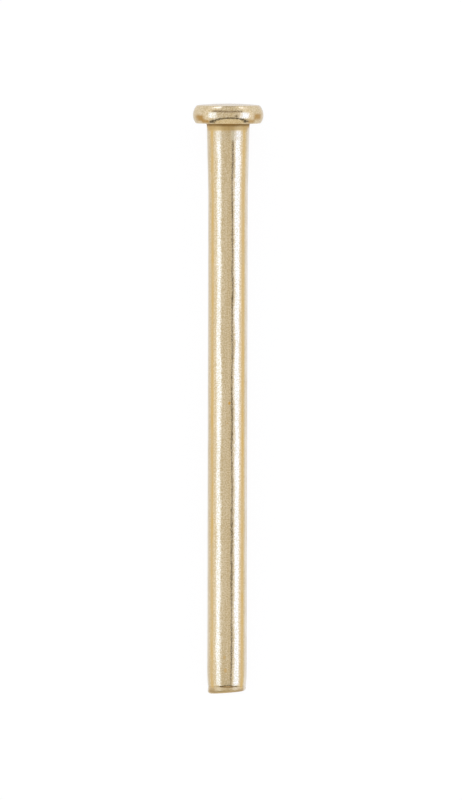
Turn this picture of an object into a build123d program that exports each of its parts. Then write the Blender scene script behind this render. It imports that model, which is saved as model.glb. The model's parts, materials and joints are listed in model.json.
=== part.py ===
from build123d import *
import os
from math import asin, atan2, cos, degrees, hypot, radians, sin, sqrt

# A headed pin for a butt hinge, in millimetres, made in one piece from round wire.
# It is drawn upright first: the axis is Y, the underside of the head is at Y = 0, the head is above that
# and the shank below. Then it is laid on a surface at Z = 0 with its head towards +Y, as it comes to rest.

# Head
head_diameter = 10.8
head_thickness = 3.0
head_widest_height = 1.45        # the side bulges, and is widest this far above the underside
head_top_diameter = 9.64         # at the corner of the domed top
head_dome_drop = 0.24            # from the middle of the top down to that corner
head_bottom_diameter = 9.92      # at the corner of the flat underside
head_top_corner_radius = 0.3
head_bottom_corner_radius = 0.2

# Shank
shank_diameter = 6.05
shank_length = 87.3              # from the underside of the head to the longest side of the end
neck_diameter = 6.56             # the heading blow swells the wire right under the head
neck_end_diameter = 6.17
neck_length = 8.3                # a slight cone, which ends where the heading die's mouth ended
neck_blend_length = 5.1          # from the end of that cone down to the plain wire
neck_root_radius = 0.3

# Sheared end
end_slant_degrees = 4.5          # the shear crossed the wire a little askew
end_drawn_in_length = 2.4        # the shear pulled the surface in over this length
end_drawn_in_radius = 22.0       # along an arc, which starts parallel to the axis
end_corner_radius = 0.5
sheared_off_length = 1.0         # wire beyond the end, which the cut takes away


def head_arc_radius():
    """Radius of the lower side of the head: parallel to the axis where it is widest, in at the bottom."""
    comes_in = (head_diameter - head_bottom_diameter) / 2
    return (comes_in**2 + head_widest_height**2) / (2 * comes_in)


def pin_profile():
    """Half section of the pin before its end is cut, from the axis outwards."""
    shank_radius = shank_diameter / 2
    top = (0, head_thickness)
    top_corner = (head_top_diameter / 2, head_thickness - head_dome_drop)
    widest = (head_diameter / 2, head_widest_height)
    bottom_corner = (head_bottom_diameter / 2, 0)
    neck_root = (neck_diameter / 2, 0)
    neck_end = (neck_end_diameter / 2, -neck_length)
    wire_start = (shank_radius, -neck_length - neck_blend_length)
    wire_end = (shank_radius, end_drawn_in_length - shank_length)
    drawn_in_length = end_drawn_in_length + sheared_off_length
    drawn_in_depth = end_drawn_in_radius - sqrt(end_drawn_in_radius**2 - drawn_in_length**2)
    blank_corner = (shank_radius - drawn_in_depth, -shank_length - sheared_off_length)
    blank_end = (0, -shank_length - sheared_off_length)

    outline = [
        TangentArc(top, top_corner, tangent=(1, 0)),
        TangentArc(widest, top_corner, tangent=(0, 1)),
        TangentArc(widest, bottom_corner, tangent=(0, -1)),
        Polyline(bottom_corner, neck_root, neck_end),
        TangentArc(wire_start, neck_end, tangent=(0, 1)),
        Line(wire_start, wire_end),
        TangentArc(wire_end, blank_corner, tangent=(0, -1)),
        Polyline(blank_corner, blank_end, top),
    ]
    profile = make_face(outline)
    for corner, radius in (
        (top_corner, head_top_corner_radius),
        (bottom_corner, head_bottom_corner_radius),
        (neck_root, neck_root_radius),
    ):
        nearest = profile.vertices().sort_by_distance(Vector(*corner))[0]
        profile = fillet(nearest, radius)
    return profile


def cut_to_length(blank):
    """Shear the blank off on the slant and round the corner that is left."""
    slant = radians(end_slant_degrees)
    longest_side = (-shank_diameter / 2, -shank_length, 0)
    cut = Plane(origin=longest_side, z_dir=(sin(slant), -cos(slant), 0))
    sheared = split(blank, bisect_by=cut, keep=Keep.BOTTOM)
    end_face = sheared.faces().filter_by(GeomType.PLANE).sort_by(Axis.Y)[0]
    return fillet(end_face.edges(), end_corner_radius)


def resting_tilt():
    """Angle between the pin's axis and the surface that its head and its sheared end lie on.

    Both touch it along arcs of the half section: the lower side of the head, and the drawn-in stretch of
    the shank. The surface is the straight line that touches both arcs.
    """
    head_arc = head_arc_radius()
    head_arc_centre = head_diameter / 2 - head_arc
    end_arc_centre = shank_diameter / 2 - end_drawn_in_radius
    apart = head_widest_height + shank_length - end_drawn_in_length
    step = head_arc_centre - end_arc_centre
    return atan2(step, apart) + asin((head_arc - end_drawn_in_radius) / hypot(apart, step))


def lie_down(pin):
    """Lay the upright pin on Z = 0, in the middle of its own length and width."""
    tilt = resting_tilt()
    head_arc = head_arc_radius()
    head_axis_height = (head_diameter / 2 - head_arc) * cos(tilt) + head_arc
    height = head_axis_height - head_widest_height * sin(tilt)
    tilted = Pos(0, 0, height) * Rot(degrees(tilt), 0, 0) * pin
    return Pos(0, -tilted.bounding_box().center().Y, 0) * tilted


def hinge_pin():
    """The whole pin, at rest."""
    blank = revolve(pin_profile(), axis=Axis.Y)
    return lie_down(cut_to_length(blank))


os.makedirs("parts", exist_ok=True)
pin = hinge_pin()
pin.label = "hinge_pin"
export_step(pin, "parts/hinge_pin.step")
print("tilt at rest, degrees:", round(degrees(resting_tilt()), 3))
print("bounds:", pin.bounding_box())
print("volume, mm3:", round(pin.volume, 2))
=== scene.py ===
"""A brass-plated hinge pin, lying on a pale floor under a plain studio light. Lengths are in metres."""

from __future__ import annotations

import json
import logging
import math
from dataclasses import dataclass, field
from enum import Enum

import bmesh
import bpy
from mathutils import Matrix, Vector, noise

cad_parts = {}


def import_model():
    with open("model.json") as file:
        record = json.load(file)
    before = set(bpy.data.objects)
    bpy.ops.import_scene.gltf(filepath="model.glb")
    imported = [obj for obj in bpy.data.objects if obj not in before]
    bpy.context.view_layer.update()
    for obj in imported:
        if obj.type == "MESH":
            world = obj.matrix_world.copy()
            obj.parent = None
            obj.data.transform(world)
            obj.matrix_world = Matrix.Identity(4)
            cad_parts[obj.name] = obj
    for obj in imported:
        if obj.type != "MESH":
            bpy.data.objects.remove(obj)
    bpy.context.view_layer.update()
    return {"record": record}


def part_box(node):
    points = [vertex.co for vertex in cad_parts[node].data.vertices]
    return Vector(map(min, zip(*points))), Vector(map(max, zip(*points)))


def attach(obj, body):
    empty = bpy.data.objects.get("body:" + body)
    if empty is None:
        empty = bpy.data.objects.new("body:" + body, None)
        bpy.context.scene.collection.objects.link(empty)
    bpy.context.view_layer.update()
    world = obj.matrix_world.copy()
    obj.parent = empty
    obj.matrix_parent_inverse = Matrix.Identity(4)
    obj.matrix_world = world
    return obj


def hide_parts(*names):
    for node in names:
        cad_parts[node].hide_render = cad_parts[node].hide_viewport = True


LOG = logging.getLogger("hinge_pin")
NODE = "hinge_pin"
BODY = "root"
MM = 0.001

# The Mix node's sockets for colours, which share their names with its sockets for numbers and vectors.
MIX_FACTOR = 0
MIX_FIRST = 6
MIX_SECOND = 7
MIX_COLOUR = 2

Colour = tuple[float, float, float]

# Tints for bands of painted reflection, light and dark, laid into the plating's colour.
PAINTED_GOLD_REFLECTION: Colour = (0.75, 0.495, 0.165)
PAINTED_BROWN_REFLECTION: Colour = (0.50, 0.29, 0.085)
PAINTED_DARK_REFLECTION: Colour = (0.40, 0.25, 0.10)
PAINTED_PALE_REFLECTION: Colour = (0.95, 0.90, 0.80)
PAINTED_BRIGHT_REFLECTION: Colour = (0.98, 0.86, 0.58)


# ---------------------------------------------------------------- shader expressions


class Wire:
    """A number that flows through a node tree. Arithmetic on wires adds Math nodes."""

    def __init__(self, board: Board, socket: bpy.types.NodeSocket) -> None:
        """Keep the output socket that carries the number.

        Args:
            board: The board that the socket's node is on.
            socket: The output socket.
        """
        self.board = board
        self.socket = socket

    def math(self, operation: str, *values: Wire | float) -> Wire:
        """Add a Math node.

        Args:
            operation: The Math node's operation.
            *values: Its inputs, in order.

        Returns:
            The node's result.
        """
        inputs = dict(enumerate(values))
        return self.board.add("ShaderNodeMath", {"operation": operation}, inputs)

    def __add__(self, other: Wire | float) -> Wire:
        """Sum."""
        return self.math("ADD", self, other)

    def __radd__(self, other: float) -> Wire:
        """Sum with a number on the left."""
        return self.math("ADD", other, self)

    def __sub__(self, other: Wire | float) -> Wire:
        """Difference."""
        return self.math("SUBTRACT", self, other)

    def __rsub__(self, other: float) -> Wire:
        """Difference from a number on the left."""
        return self.math("SUBTRACT", other, self)

    def __mul__(self, other: Wire | float) -> Wire:
        """Product."""
        return self.math("MULTIPLY", self, other)

    def __rmul__(self, other: float) -> Wire:
        """Product with a number on the left."""
        return self.math("MULTIPLY", other, self)

    def __truediv__(self, other: Wire | float) -> Wire:
        """Quotient."""
        return self.math("DIVIDE", self, other)

    def __abs__(self) -> Wire:
        """Size without its sign."""
        return self.math("ABSOLUTE", self)

    def root(self) -> Wire:
        """Square root."""
        return self.math("SQRT", self)

    def ease(self, low: float, high: float) -> Wire:
        """Rise smoothly from 0 to 1, or fall if the limits are given the other way round.

        Args:
            low: Where the result is 0.
            high: Where the result is 1.

        Returns:
            The eased value.
        """
        if low > high:
            return 1 - self.ease(high, low)
        settings = {"interpolation_type": "SMOOTHSTEP"}
        inputs = {"Value": self, "From Min": low, "From Max": high}
        return self.board.add("ShaderNodeMapRange", settings, inputs)


class Board:
    """A node tree being wired up."""

    def __init__(self, tree: bpy.types.NodeTree) -> None:
        """Start from an empty tree.

        Args:
            tree: The node tree of a material or of the world.
        """
        self.tree = tree
        tree.nodes.clear()

    def node(self, kind: str, settings: dict, inputs: dict) -> bpy.types.Node:
        """Add a node.

        Args:
            kind: The node's type.
            settings: Its properties, which are set first.
            inputs: Socket names or numbers to wires, sockets or plain values.

        Returns:
            The node.
        """
        node = self.tree.nodes.new(kind)
        for name, value in settings.items():
            setattr(node, name, value)
        for name, value in inputs.items():
            socket = node.inputs[name]
            source = value.socket if isinstance(value, Wire) else value
            if isinstance(source, bpy.types.NodeSocket):
                self.tree.links.new(source, socket)
            else:
                socket.default_value = source
        return node

    def add(self, kind: str, settings: dict, inputs: dict, output: int | str = 0) -> Wire:
        """Add a node and take one of its outputs.

        Args:
            kind: The node's type.
            settings: Its properties.
            inputs: Its inputs.
            output: The name or number of the output.

        Returns:
            The output.
        """
        return Wire(self, self.node(kind, settings, inputs).outputs[output])

    def parts(self, vector: Wire) -> tuple[Wire, Wire, Wire]:
        """Split a vector into X, Y and Z."""
        split = self.node("ShaderNodeSeparateXYZ", {}, {0: vector})
        return Wire(self, split.outputs[0]), Wire(self, split.outputs[1]), Wire(self, split.outputs[2])

    def stretch(self, vector: Wire, scale: tuple[float, float, float]) -> Wire:
        """Multiply a vector by a scale for each axis."""
        return self.add("ShaderNodeVectorMath", {"operation": "MULTIPLY"}, {0: vector, 1: scale})

    def noise(self, vector: Wire, scale: float, detail: float = 2.0, roughness: float = 0.5) -> Wire:
        """Add smooth noise about 0.

        Args:
            vector: Where it is read.
            scale: Bumps for each unit of the vector.
            detail: How many finer layers are added.
            roughness: How strong the finer layers are.

        Returns:
            A value of about -0.5 to 0.5.
        """
        inputs = {"Vector": vector, "Scale": scale, "Detail": detail, "Roughness": roughness}
        return self.add("ShaderNodeTexNoise", {"normalize": True}, inputs) - 0.5

    def blend(self, factor: Wire | float, first: Wire | Colour, second: Wire | Colour) -> Wire:
        """Mix two colours.

        Args:
            factor: 0 for the first, 1 for the second.
            first: A colour.
            second: Another colour.

        Returns:
            The mixed colour.
        """
        sockets = {MIX_FACTOR: factor}
        for index, colour in ((MIX_FIRST, first), (MIX_SECOND, second)):
            sockets[index] = colour if isinstance(colour, Wire) else (*colour, 1.0)
        return self.add("ShaderNodeMix", {"data_type": "RGBA"}, sockets, output=MIX_COLOUR)


# ---------------------------------------------------------------- the pin's own place


@dataclass(frozen=True)
class PinPlace:
    """Where the pin lies: its own frame has Y along its axis, 0 under the head and + towards the top."""

    seat: Vector
    tilt: float

    @classmethod
    def from_record(cls, record: dict) -> PinPlace:
        """Read the pin's place from its mounts.

        Args:
            record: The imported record.

        Returns:
            The place.
        """
        mounts = {mount["name"]: mount for mount in record["mounts"]}
        axis = Vector(mounts["shank"]["axis"]).normalized()
        on_axis = Vector(mounts["shank"]["pos_m"])
        on_seat = Vector(mounts["seat"]["pos_m"])
        seat = on_axis + axis * (on_seat - on_axis).dot(axis)
        return cls(seat=seat, tilt=math.atan2(-axis.z, -axis.y))

    def matrix(self) -> Matrix:
        """The pin's own frame in the object's frame."""
        return Matrix.Translation(self.seat) @ Matrix.Rotation(self.tilt, 4, "X")


# ---------------------------------------------------------------- finishes


@dataclass(frozen=True)
class Spot:
    """A small stain in the plating, sized in millimetres. Its turn is in degrees from the top."""

    below_head: float
    turn: float
    width: float
    length: float
    strength: float


@dataclass(frozen=True)
class PaintedReflection:
    """A lengthwise band of painted reflection, light or dark, in the plating's colour.

    Its turn is round the pin, in degrees from the top, and it starts and ends at places along the pin, in
    millimetres, 0 under the head and + towards the top.
    """

    turn: float
    half_turn: float
    start: float
    end: float
    strength: float
    tint: Colour = PAINTED_GOLD_REFLECTION


@dataclass(frozen=True)
class BrassPlating:
    """Pale brass plated over drawn wire. Its lengths are in millimetres on the pin."""

    place: PinPlace
    shank_radius: float
    pale: Colour = (0.83, 0.685, 0.45)
    deep: Colour = (0.66, 0.51, 0.28)
    # Colours of painted shade and painted reflection: gold for the neck and the end, dark for the root, the
    # groove and the rim.
    painted_gold_shade: Colour = (0.69, 0.47, 0.175)
    painted_brown_shade: Colour = (0.30, 0.17, 0.05)
    stain: Colour = (0.74, 0.42, 0.08)
    roughness: float = 0.17
    neck: float = -1.1
    lip: float = -86.12
    rim: float = -86.84
    wave_height: float = 85e-6
    peel_height: float = 14e-6
    grain_height: float = 3e-6
    line_height: float = 3e-6
    reflection_fade: float = 0.25
    spots: tuple[Spot, ...] = ()
    # Bands of painted reflection.
    streaks: tuple[PaintedReflection, ...] = ()

    def material(self) -> bpy.types.Material:
        """Build the finish.

        Returns:
            The material.
        """
        material = bpy.data.materials.new("brass_plating")
        material.use_nodes = True
        board = Board(material.node_tree)
        pin = board.add(
            "ShaderNodeMapping",
            {"vector_type": "TEXTURE"},
            {
                "Vector": board.add("ShaderNodeTexCoord", {}, {}, output="Object"),
                "Location": self.place.seat,
                "Rotation": (self.place.tilt, 0.0, 0.0),
                "Scale": (MM, MM, MM),
            },
        )
        across, along, up = board.parts(pin)

        # Unevenness from coarse to fine, in bumps per millimetre, some of it drawn out along the pin.
        wave = board.noise(board.stretch(pin, (1.0, 0.32, 1.0)), 0.5, detail=1.0)
        peel = board.noise(pin, 2.6, detail=1.5)
        grain = board.noise(pin, 5.0, detail=2.0)
        lines = board.noise(board.stretch(pin, (4.5, 0.10, 4.5)), 1.0, detail=2.5)
        patches = board.noise(board.stretch(pin, (1.0, 0.35, 1.0)), 0.9, detail=3.0)

        # The zones of the pin, each 0 outside it and 1 inside. Their limits are in millimetres.
        turn = across.math("ARCTAN2", across, up)
        radius = (across * across + up * up).root()
        on_shank = along.ease(0.25, 0.05) * radius.ease(3.9, 3.5)
        # Where painted shade and painted reflection go: a gold tint under the head and on the end, a dark
        # tint in the root, along the groove (strongest in front) and at the rim.
        neck = along.ease(self.neck - 0.25, self.neck + 0.25) * on_shank
        rough_neck = 0.7 * along.ease(self.neck - 0.05, self.neck + 0.25)
        rough_neck = (rough_neck + 0.35 * along.ease(self.neck - 2.0, self.neck - 1.2)) * on_shank
        root = along.ease(-0.55, -0.20) * along.ease(0.02, -0.10)
        head_top = along.ease(2.4, 2.8)
        end = along.ease(self.lip + 0.03, self.lip - 0.03)
        near_end = along.ease(-79.0, -86.0)
        in_front = abs(turn).ease(math.radians(24.0), math.radians(14.0))
        groove = abs(along - self.lip).ease(0.15, 0.05) * (0.15 + 0.70 * in_front)
        rim = abs(along - self.rim).ease(0.25, 0.05)

        # The colours: the plating's own tone, then painted shade and painted reflection laid over it, then
        # the stains.
        tone = 0.5 + (4.2 - 2.2 * head_top) * grain + 0.8 * patches + 1.2 * lines - 0.25 * near_end
        colour = board.blend(tone, self.deep, self.pale)
        # Painted shade and painted reflection: gold at the neck and on the end, dark at the root, along the
        # groove and at the rim.
        colour = board.blend(0.85 * neck + 0.30 * end, colour, self.painted_gold_shade)
        colour = board.blend(0.85 * root + groove + 0.3 * rim, colour, self.painted_brown_shade)
        # Bands of painted reflection, made uneven by the plating's patches and lines.
        uneven = radius.ease(2.5, 2.85) * (0.7 + 1.2 * patches + 1.2 * lines)
        for streak in self.streaks:
            colour = board.blend(uneven * self.reflection_mask(streak, turn, along), colour, streak.tint)
        for spot in self.spots:
            colour = board.blend(self.spot_mask(spot, across, along, up), colour, self.stain)

        # The shine and the relief.
        roughness = self.roughness + 0.08 * patches + 0.10 * grain + 0.34 * rough_neck + 0.30 * end
        height = self.wave_height * wave + self.peel_height * peel
        height = height + self.grain_height * grain + self.line_height * lines
        relief = board.add("ShaderNodeBump", {}, {"Strength": 1.0, "Distance": 1.0, "Height": height})
        inputs = {"Base Color": colour, "Metallic": 1.0, "Roughness": roughness, "Normal": relief}
        shader = board.add("ShaderNodeBsdfPrincipled", {}, inputs)
        board.node("ShaderNodeOutputMaterial", {}, {"Surface": shader})
        return material

    def reflection_mask(self, streak: PaintedReflection, turn: Wire, along: Wire) -> Wire:
        """Find how much of a band of painted reflection covers each point.

        Args:
            streak: The band of painted reflection.
            turn: How far round the pin the point is, in radians.
            along: The pin's Y, in millimetres.

        Returns:
            0 off the band to its strength in the middle.
        """
        off = abs(turn - math.radians(streak.turn))
        beside = off.ease(math.radians(1.5 * streak.half_turn), math.radians(0.4 * streak.half_turn))
        within = along.ease(streak.start + self.reflection_fade, streak.start - self.reflection_fade)
        within = within * along.ease(streak.end - self.reflection_fade, streak.end + self.reflection_fade)
        return streak.strength * beside * within

    def spot_mask(self, spot: Spot, across: Wire, along: Wire, up: Wire) -> Wire:
        """Find how much of a stain covers each point.

        Args:
            spot: The stain.
            across: The pin's X, in millimetres.
            along: The pin's Y.
            up: The pin's Z.

        Returns:
            0 off the stain to its strength in the middle.
        """
        turn = math.radians(spot.turn)
        side = (across - self.shank_radius * math.sin(turn)) / spot.width
        high = (up - self.shank_radius * math.cos(turn)) / spot.width
        down = (along + spot.below_head) / spot.length
        distance = (side * side + high * high + down * down).root()
        return spot.strength * distance.ease(0.6, 0.25)


@dataclass(frozen=True)
class FloorPaint:
    """Plain white, a little shaded where the pin keeps the light off it."""

    colour: Colour = (0.93, 0.93, 0.93)
    plainness: float = 0.86
    plain_level: float = 1.06
    plainness_in_reflections: float = 0.50

    def material(self) -> bpy.types.Material:
        """Build the finish.

        Returns:
            The material.
        """
        material = bpy.data.materials.new("white_floor")
        material.use_nodes = True
        board = Board(material.node_tree)
        rays = board.node("ShaderNodeLightPath", {}, {})
        seen = self.plainness * Wire(board, rays.outputs["Is Camera Ray"])
        for name in ("Is Glossy Ray", "Is Transmission Ray"):
            seen = seen + self.plainness_in_reflections * Wire(board, rays.outputs[name])
        lit = board.add("ShaderNodeBsdfDiffuse", {}, {"Color": (*self.colour, 1.0)})
        white = {"Color": (1.0, 1.0, 1.0, 1.0), "Strength": self.plain_level}
        plain = board.add("ShaderNodeEmission", {}, white)
        surface = board.add("ShaderNodeMixShader", {}, {0: seen, 1: lit, 2: plain})
        board.node("ShaderNodeOutputMaterial", {}, {"Surface": surface})
        return material


# ---------------------------------------------------------------- the pin


class Turning:
    """A half section drawn with an operator for each line and arc, then spun round the pin's axis."""

    def __init__(self, radius: float, along: float) -> None:
        """Start the section at a point.

        Args:
            radius: Distance from the axis.
            along: Place along the axis.
        """
        self.mesh = bmesh.new()
        self.tip = self.mesh.verts.new((radius, along, 0.0))

    def line(self, radius: float, along: float, steps: int) -> Turning:
        """Draw a straight line to a point.

        Args:
            radius: The point's distance from the axis.
            along: Its place along the axis.
            steps: How many edges the line has.

        Returns:
            The section itself.
        """
        step = (Vector((radius, along, 0.0)) - self.tip.co) / steps
        for _ in range(steps):
            made = bmesh.ops.extrude_vert_indiv(self.mesh, verts=[self.tip])
            self.tip = made["verts"][0]
            bmesh.ops.translate(self.mesh, verts=[self.tip], vec=step)
        return self

    def arc(self, centre: Vector, bearing: float, steps: int) -> Turning:
        """Draw an arc about a centre, the short way round.

        Args:
            centre: The centre, as distance from the axis and place along it.
            bearing: Where the arc ends: the angle of that point as seen from the centre.
            steps: How many edges the arc has.

        Returns:
            The section itself.
        """
        spoke = self.tip.co.to_2d() - centre
        turn = math.remainder(bearing - math.atan2(spoke.y, spoke.x), math.tau)
        made = bmesh.ops.spin(
            self.mesh,
            geom=[self.tip],
            cent=centre.to_3d(),
            axis=(0.0, 0.0, 1.0),
            angle=turn,
            steps=steps,
            use_merge=False,
        )
        self.tip = next(item for item in made["geom_last"] if isinstance(item, bmesh.types.BMVert))
        return self

    def spun(self, sides: int) -> bmesh.types.BMesh:
        """Spin the section once round.

        Args:
            sides: How many sides the turning has.

        Returns:
            The closed turning.
        """
        bmesh.ops.spin(
            self.mesh,
            geom=[*self.mesh.verts, *self.mesh.edges],
            cent=(0.0, 0.0, 0.0),
            axis=(0.0, 1.0, 0.0),
            angle=math.tau,
            steps=sides,
            use_merge=True,
        )
        bmesh.ops.remove_doubles(self.mesh, verts=self.mesh.verts, dist=1e-8)
        bmesh.ops.recalc_face_normals(self.mesh, faces=self.mesh.faces)
        return self.mesh


def bearing(start: Vector, end: Vector) -> float:
    """Angle of one point of the half section as seen from another."""
    return math.atan2(end.y - start.y, end.x - start.x)


def tangent_radius(across: float, along: float) -> float:
    """Radius of an arc that starts parallel to the axis and comes in by `across` within `along`."""
    return (across**2 + along**2) / (2 * across)


@dataclass
class HingePin:
    """The pin: a headed wire with a swollen neck and a sheared end. Its own frame is PinPlace's.

    The lip is a length of the end, past a shallow groove. The torn part of the end's face is deeper than the
    smooth part by tear_depth.
    """

    place: PinPlace
    head_radius: float = 5.40 * MM
    head_thickness: float = 3.0 * MM
    head_widest: float = 1.25 * MM
    top_radius: float = 4.82 * MM
    dome_drop: float = 0.24 * MM
    under_radius: float = 4.96 * MM
    top_corner: float = 0.42 * MM
    under_corner: float = 0.20 * MM
    shank_radius: float = 3.025 * MM
    shank_length: float = 87.3 * MM
    neck_radius: float = 3.28 * MM
    neck_end_radius: float = 3.085 * MM
    neck_length: float = 8.3 * MM
    neck_blend: float = 5.1 * MM
    neck_root: float = 0.30 * MM
    end_slant: float = math.radians(4.5)
    end_drawn_in: float = 3.5 * MM
    end_arc: float = 22.0 * MM
    end_corner: float = 0.46 * MM
    lip: float = 1.24 * MM
    lip_groove: float = 0.05 * MM
    smooth_depth: float = 0.006 * MM
    tear_depth: float = 0.05 * MM
    tear_grain_depth: float = 0.035 * MM
    tear_grain_size: float = 0.45 * MM
    wire_unevenness: float = 0.003 * MM
    head_unevenness: float = 0.009 * MM
    unevenness_size: float = 1.9 * MM
    ring_depth: float = 0.010 * MM
    ring_width: float = 0.09 * MM
    sides: int = 224
    mesh: bmesh.types.BMesh = field(init=False)

    def build(self) -> bpy.types.Object:
        """Model the pin and put it in its place.

        Returns:
            The pin's object.
        """
        section = Turning(0.0, self.head_thickness)
        self.draw_head(section)
        self.draw_shank(section)
        self.draw_end(section)
        self.mesh = section.spun(self.sides)
        self.slant_end()
        self.tear_end()
        self.mark_surface()
        bmesh.ops.transform(self.mesh, matrix=self.place.matrix(), verts=self.mesh.verts)
        for face in self.mesh.faces:
            face.smooth = True
        data = bpy.data.meshes.new("pin")
        self.mesh.to_mesh(data)
        self.mesh.free()
        pin = bpy.data.objects.new("pin", data)
        bpy.context.scene.collection.objects.link(pin)
        return pin

    def draw_head(self, section: Turning) -> None:
        """Draw the domed top, the bulged side and the flat underside, down to the root of the neck.

        Args:
            section: The half section so far.
        """
        dome = tangent_radius(self.dome_drop, self.top_radius)
        dome_centre = Vector((0.0, self.head_thickness - dome))
        upper = tangent_radius(
            self.head_radius - self.top_radius, self.head_thickness - self.dome_drop - self.head_widest
        )
        lower = tangent_radius(self.head_radius - self.under_radius, self.head_widest)
        upper_centre = Vector((self.head_radius - upper, self.head_widest))
        lower_centre = Vector((self.head_radius - lower, self.head_widest))
        to_dome, to_upper = dome - self.top_corner, upper - self.top_corner
        top_corner = self.corner_centre(dome_centre, to_dome, upper_centre, to_upper)
        reach = math.sqrt((lower - self.under_corner) ** 2 - (self.head_widest - self.under_corner) ** 2)
        under_corner = Vector((lower_centre.x + reach, self.under_corner))

        section.arc(dome_centre, bearing(dome_centre, top_corner), steps=34)
        section.arc(top_corner, bearing(upper_centre, top_corner), steps=5)
        section.arc(upper_centre, 0.0, steps=14)
        section.arc(lower_centre, bearing(lower_centre, under_corner), steps=14)
        section.arc(under_corner, -math.pi / 2, steps=6)
        section.line(self.root_centre().x, 0.0, steps=12)

    def corner_centre(self, first: Vector, reach: float, second: Vector, other_reach: float) -> Vector:
        """Find the centre of a corner that is rounded between two arcs.

        Args:
            first: The centre of one arc.
            reach: How far the corner's centre is from it.
            second: The centre of the other arc.
            other_reach: How far the corner's centre is from that.

        Returns:
            The centre that is nearer the top and the rim.
        """
        apart = (second - first).length
        ahead = (second - first) / apart
        forward = (reach**2 - other_reach**2 + apart**2) / (2 * apart)
        aside = math.sqrt(reach**2 - forward**2)
        beside = Vector((-ahead.y, ahead.x))
        either = (first + ahead * forward + beside * side for side in (aside, -aside))
        return max(either, key=lambda point: point.x)

    def root_centre(self) -> Vector:
        """Centre of the small hollow between the underside of the head and the neck."""
        taper = (self.neck_radius - self.neck_end_radius) / self.neck_length
        out = self.neck_root * math.hypot(1.0, taper)
        return Vector((self.neck_radius - taper * self.neck_root + out, -self.neck_root))

    def draw_shank(self, section: Turning) -> None:
        """Draw the root, the cone of the neck, its blend into the wire, and the wire.

        Args:
            section: The half section so far.
        """
        taper = math.atan2(self.neck_radius - self.neck_end_radius, self.neck_length)
        blend = tangent_radius(self.neck_end_radius - self.shank_radius, self.neck_blend)
        blend_centre = Vector((self.shank_radius + blend, -self.neck_length - self.neck_blend))
        section.arc(self.root_centre(), math.pi - taper, steps=8)
        near_ring = 0.6 * MM
        ring_radius = self.neck_end_radius + near_ring * math.tan(taper)
        section.line(ring_radius, near_ring - self.neck_length, steps=34)
        section.line(self.neck_end_radius, -self.neck_length, steps=10)
        section.arc(blend_centre, math.pi, steps=26)
        section.line(self.shank_radius, self.end_drawn_in - self.shank_length, steps=200)

    def draw_end(self, section: Turning) -> None:
        """Draw the drawn-in end of the wire, its groove and lip, its rounded corner and its face.

        Args:
            section: The half section so far.
        """
        starts = self.end_drawn_in - self.shank_length
        arc_centre = Vector((self.shank_radius - self.end_arc, starts))
        section.arc(arc_centre, -math.asin((self.end_drawn_in - self.lip) / self.end_arc), steps=10)
        rim = section.tip.co.x
        lip_end = self.end_corner - self.shank_length
        section.line(rim - self.lip_groove, section.tip.co.y - 2.0 * self.lip_groove, steps=2)
        section.line(rim + 0.2 * self.lip_groove, lip_end, steps=4)
        corner = Vector((section.tip.co.x - self.end_corner, lip_end))
        section.arc(corner, -math.pi / 2, steps=10)
        section.line(0.0, -self.shank_length, steps=22)

    def slant_end(self) -> None:
        """Lean the sheared end over: it stays as long on the left and gets shorter towards the right."""
        starts = self.lip - 3.0 * self.lip_groove - self.shank_length
        settled = self.end_corner - self.shank_length
        for vert in self.mesh.verts:
            share = min(1.0, max(0.0, (starts - vert.co.y) / (starts - settled)))
            vert.co.y += share * (vert.co.x + self.shank_radius) * math.tan(self.end_slant)

    def tear_end(self) -> None:
        """Give the sheared face its two zones: smooth where the blade went in, torn where the wire broke."""
        face_radius = self.shank_radius - 1.3 * self.end_corner
        fade = 0.5 * MM
        break_at, break_width, wander = -0.7 * MM, 0.15 * MM, 0.5 * MM
        for vert in self.mesh.verts:
            radius = math.hypot(vert.co.x, vert.co.z)
            if vert.co.y > 3.0 * self.end_corner - self.shank_length or radius > face_radius:
                continue
            inward = min(1.0, (face_radius - radius) / fade)
            past_break = vert.co.x - break_at + wander * noise.noise(Vector((0.0, 0.0, vert.co.z / MM)))
            torn = min(1.0, max(0.0, past_break / break_width))
            streaks = noise.noise(Vector((vert.co.x / MM * 0.6, 0.0, vert.co.z / MM * 4.0)))
            grain_at = Vector((vert.co.x, 7.0 * MM, vert.co.z)) / self.tear_grain_size
            grain = noise.fractal(grain_at, 1.0, 2.0, 4)
            smooth_part = self.smooth_depth * streaks
            torn_part = self.tear_depth + self.tear_grain_depth * grain
            vert.co.y += inward * (smooth_part * (1.0 - torn) + torn_part * torn)

    def mark_surface(self) -> None:
        """Leave the marks of making, all of them inwards.

        They are a slightly uneven head and wire, and the ring where the heading die's mouth was.
        """
        fade = 0.4 * MM
        for vert in self.mesh.verts:
            radius = math.hypot(vert.co.x, vert.co.z)
            if radius < 0.5 * self.shank_radius:
                continue
            outward = Vector((vert.co.x, 0.0, vert.co.z)) / radius
            on_head = min(1.0, max(0.0, vert.co.y / fade + 1.0))
            most = self.wire_unevenness + (self.head_unevenness - self.wire_unevenness) * on_head
            uneven = most * (noise.noise(Vector(vert.co) / self.unevenness_size) - 1.0)
            from_ring = (vert.co.y + self.neck_length + 0.1 * MM) / self.ring_width
            ring = -self.ring_depth * math.exp(-(from_ring**2))
            vert.co += outward * (uneven + ring)

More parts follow.
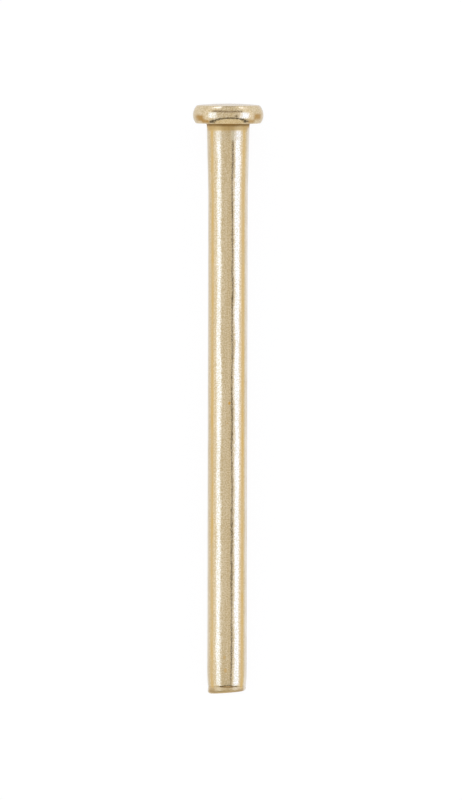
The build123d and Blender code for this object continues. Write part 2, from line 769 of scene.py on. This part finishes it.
    def dress(self, pin: bpy.types.Object) -> None:
        """Plate the pin, with its stains and with painted shade and painted reflection in its colour.

        Args:
            pin: The pin's object.
        """
        plating = BrassPlating(
            place=self.place,
            shank_radius=self.shank_radius / MM,
            spots=(
                Spot(below_head=42.7, turn=5.5, width=0.42, length=0.55, strength=0.9),
                Spot(below_head=45.8, turn=-1.5, width=0.22, length=0.22, strength=0.5),
                Spot(below_head=81.6, turn=-7.0, width=0.50, length=0.60, strength=0.35),
                Spot(below_head=83.6, turn=-4.0, width=0.55, length=0.75, strength=0.4),
            ),
            # Bands of painted reflection: gold along the wire's flanks and underside and on the head's back,
            # pale along the edges, bright below the head, dark on the lip, dark patches on the head's side.
            streaks=(
                PaintedReflection(turn=-50.5, half_turn=6.3, start=-1.0, end=-86.3, strength=1.0),
                PaintedReflection(turn=50.0, half_turn=6.0, start=-1.0, end=-86.3, strength=1.0),
                PaintedReflection(turn=112.0, half_turn=8.0, start=-3.0, end=-80.0, strength=0.4),
                PaintedReflection(turn=-128.0, half_turn=11.0, start=-6.0, end=-86.3, strength=0.5),
                PaintedReflection(turn=165.0, half_turn=7.0, start=-1.0, end=-70.0, strength=0.4),
                PaintedReflection(turn=76.0, half_turn=14.0, start=-0.6, end=-86.9, strength=1.0, tint=PAINTED_PALE_REFLECTION),
                PaintedReflection(turn=-80.0, half_turn=10.0, start=-0.6, end=-86.9, strength=0.7, tint=PAINTED_PALE_REFLECTION),
                PaintedReflection(turn=13.3, half_turn=5.0, start=-1.1, end=-2.5, strength=1.1, tint=PAINTED_BRIGHT_REFLECTION),
                PaintedReflection(turn=-48.0, half_turn=14.0, start=-86.4, end=-87.1, strength=0.5, tint=PAINTED_DARK_REFLECTION),
                PaintedReflection(turn=46.0, half_turn=14.0, start=-86.4, end=-87.1, strength=0.5, tint=PAINTED_DARK_REFLECTION),
                PaintedReflection(turn=-56.0, half_turn=12.0, start=1.3, end=0.42, strength=1.25, tint=PAINTED_BROWN_REFLECTION),
                PaintedReflection(turn=-42.0, half_turn=9.0, start=0.62, end=0.12, strength=1.25, tint=PAINTED_BROWN_REFLECTION),
                PaintedReflection(turn=58.0, half_turn=10.0, start=1.5, end=0.65, strength=1.2, tint=PAINTED_BROWN_REFLECTION),
                PaintedReflection(turn=43.0, half_turn=8.0, start=0.62, end=0.12, strength=1.1, tint=PAINTED_BROWN_REFLECTION),
                PaintedReflection(turn=150.0, half_turn=20.0, start=2.0, end=0.3, strength=0.6),
            ),
        )
        pin.data.materials.append(plating.material())


# ---------------------------------------------------------------- the studio


class PanelShape(Enum):
    """Outline of a panel of the studio."""

    OBLONG = "oblong"
    ROUND = "round"


@dataclass(frozen=True)
class Panel:
    """A soft-edged area of the studio, far from the pin. Angles are in degrees.

    The turn is from straight up over to the right, round the pin's length, and the lean is from there
    towards the head. A round panel's half_turn is its radius.
    """

    turn: float
    lean: float
    half_turn: float
    half_lean: float
    soft: float
    light: Colour
    shape: PanelShape = PanelShape.OBLONG

    def mask(self, board: Board, direction: Wire) -> Wire:
        """Find where the panel is.

        Args:
            board: The world's board.
            direction: The direction that is looked in.

        Returns:
            1 inside the panel, 0 outside.
        """
        if self.shape is PanelShape.ROUND:
            turn, lean = math.radians(self.turn), math.radians(self.lean)
            centre = (math.sin(turn) * math.cos(lean), math.sin(lean), math.cos(turn) * math.cos(lean))
            product = {0: direction, 1: centre}
            cosine = board.add("ShaderNodeVectorMath", {"operation": "DOT_PRODUCT"}, product, output="Value")
            return self.inside(cosine.math("ARCCOSINE", cosine), self.half_turn)
        across, along, up = board.parts(direction)
        turn_off = abs(across.math("ARCTAN2", across, up) - math.radians(self.turn))
        lean_off = abs(along.math("ARCSINE", along) - math.radians(self.lean))
        return self.inside(turn_off, self.half_turn) * self.inside(lean_off, self.half_lean)

    def inside(self, angle: Wire, half: float) -> Wire:
        """Ease from 1 to 0 across the panel's edge."""
        return angle.ease(math.radians(half + self.soft), math.radians(half - self.soft))


@dataclass
class Studio:
    """A pale tent round the pin, with softboxes, and the white floor that the pin lies on."""

    tent: Colour = (0.98, 0.99, 1.04)
    panels: tuple[Panel, ...] = (
        Panel(0, 0, 38, 80, 5, (0.79, 0.79, 0.81)),
        Panel(10, 0, 12, 80, 6, (0.77, 0.75, 0.73)),
        Panel(0, 31, 56, 5.5, 5.5, (0.26, 0.22, 0.18)),
        Panel(0, 84, 180, 12, 4, (0.26, 0.22, 0.18)),
        Panel(8, -67, 50, 0, 3, (0.06, 0.05, 0.03), PanelShape.ROUND),
        Panel(8, -67, 39, 0, 3, (0.88, 0.84, 0.76), PanelShape.ROUND),
        Panel(-60, 63, 18, 11, 3, (1.7, 2.0, 3.0)),
        Panel(72, 57, 10, 8, 3, (1.5, 1.65, 2.2)),
        Panel(26.5, -4, 3.5, 8, 2.5, (0.08, 0.06, 0.03)),
        Panel(-53.5, 1, 13.2, 21, 2.5, (1.34, 1.62, 2.40)),
        Panel(58, 0, 20, 21, 3, (1.12, 1.16, 1.36)),
        Panel(57.5, 0, 13.5, 21, 3, (1.36, 1.70, 2.80)),
    )
    floor_size: float = 6.0

    def light(self) -> None:
        """Hang the studio round the scene, as its world."""
        world = bpy.data.worlds.new("studio")
        bpy.context.scene.world = world
        world.use_nodes = True
        board = Board(world.node_tree)
        direction = board.add("ShaderNodeTexCoord", {}, {}, output="Generated")
        colour: Wire | Colour = self.tent
        for panel in self.panels:
            colour = board.blend(panel.mask(board, direction), colour, panel.light)
        background = board.add("ShaderNodeBackground", {}, {"Color": colour, "Strength": 1.0})
        board.node("ShaderNodeOutputWorld", {}, {"Surface": background})

    def floor(self) -> bpy.types.Object:
        """Lay the floor.

        Returns:
            The floor's object.
        """
        shape = bmesh.new()
        bmesh.ops.create_grid(shape, x_segments=1, y_segments=1, size=self.floor_size / 2)
        data = bpy.data.meshes.new("floor")
        shape.to_mesh(data)
        shape.free()
        floor = bpy.data.objects.new("floor", data)
        bpy.context.scene.collection.objects.link(floor)
        floor.data.materials.append(FloorPaint().material())
        return floor


@dataclass
class Camera:
    """A long lens that looks down on the pin, with the head at the top of its view."""

    distance: float = 2.4
    view_height: float = 0.1223
    sensor: float = 36.0
    lean: float = math.radians(0.7)
    roll: float = math.radians(0.13)
    middle_right: float = 0.53 * MM
    middle_down: float = 0.19 * MM

    def place(self, low: Vector, high: Vector) -> bpy.types.Object:
        """Set the camera up.

        Args:
            low: The lowest corner of the pin's box.
            high: Its highest corner.

        Returns:
            The camera's object.
        """
        data = bpy.data.cameras.new("camera")
        data.sensor_width = self.sensor
        data.lens = self.distance * self.sensor / self.view_height
        data.clip_start, data.clip_end = 0.1, 20.0
        camera = bpy.data.objects.new("camera", data)
        bpy.context.scene.collection.objects.link(camera)
        middle = (low + high) / 2
        target = Vector((middle.x + self.middle_right, middle.y - self.middle_down, middle.z))
        back = Vector((0.0, math.sin(self.lean), math.cos(self.lean)))
        turned = Matrix.Rotation(-self.lean, 4, "X") @ Matrix.Rotation(self.roll, 4, "Z")
        camera.matrix_world = Matrix.Translation(target + back * self.distance) @ turned
        bpy.context.scene.camera = camera
        return camera


# ---------------------------------------------------------------- putting it together


def main() -> None:
    """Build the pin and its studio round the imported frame."""
    logging.basicConfig(level=logging.INFO, format="%(name)s: %(message)s")
    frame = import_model()
    bpy.context.scene.view_settings.view_transform = "Standard"

    maker = HingePin(PinPlace.from_record(frame["record"]))
    pin = maker.build()
    maker.dress(pin)
    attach(pin, BODY)
    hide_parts(NODE)
    LOG.info("%s: %d faces", pin.name, len(pin.data.polygons))

    studio = Studio()
    studio.light()
    floor = studio.floor()
    LOG.info("%s: %.1f m across", floor.name, studio.floor_size)

    camera = Camera().place(*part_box(NODE))
    LOG.info("%s: lens %.0f mm", camera.name, camera.data.lens)


if __name__ == "__main__":
    main()
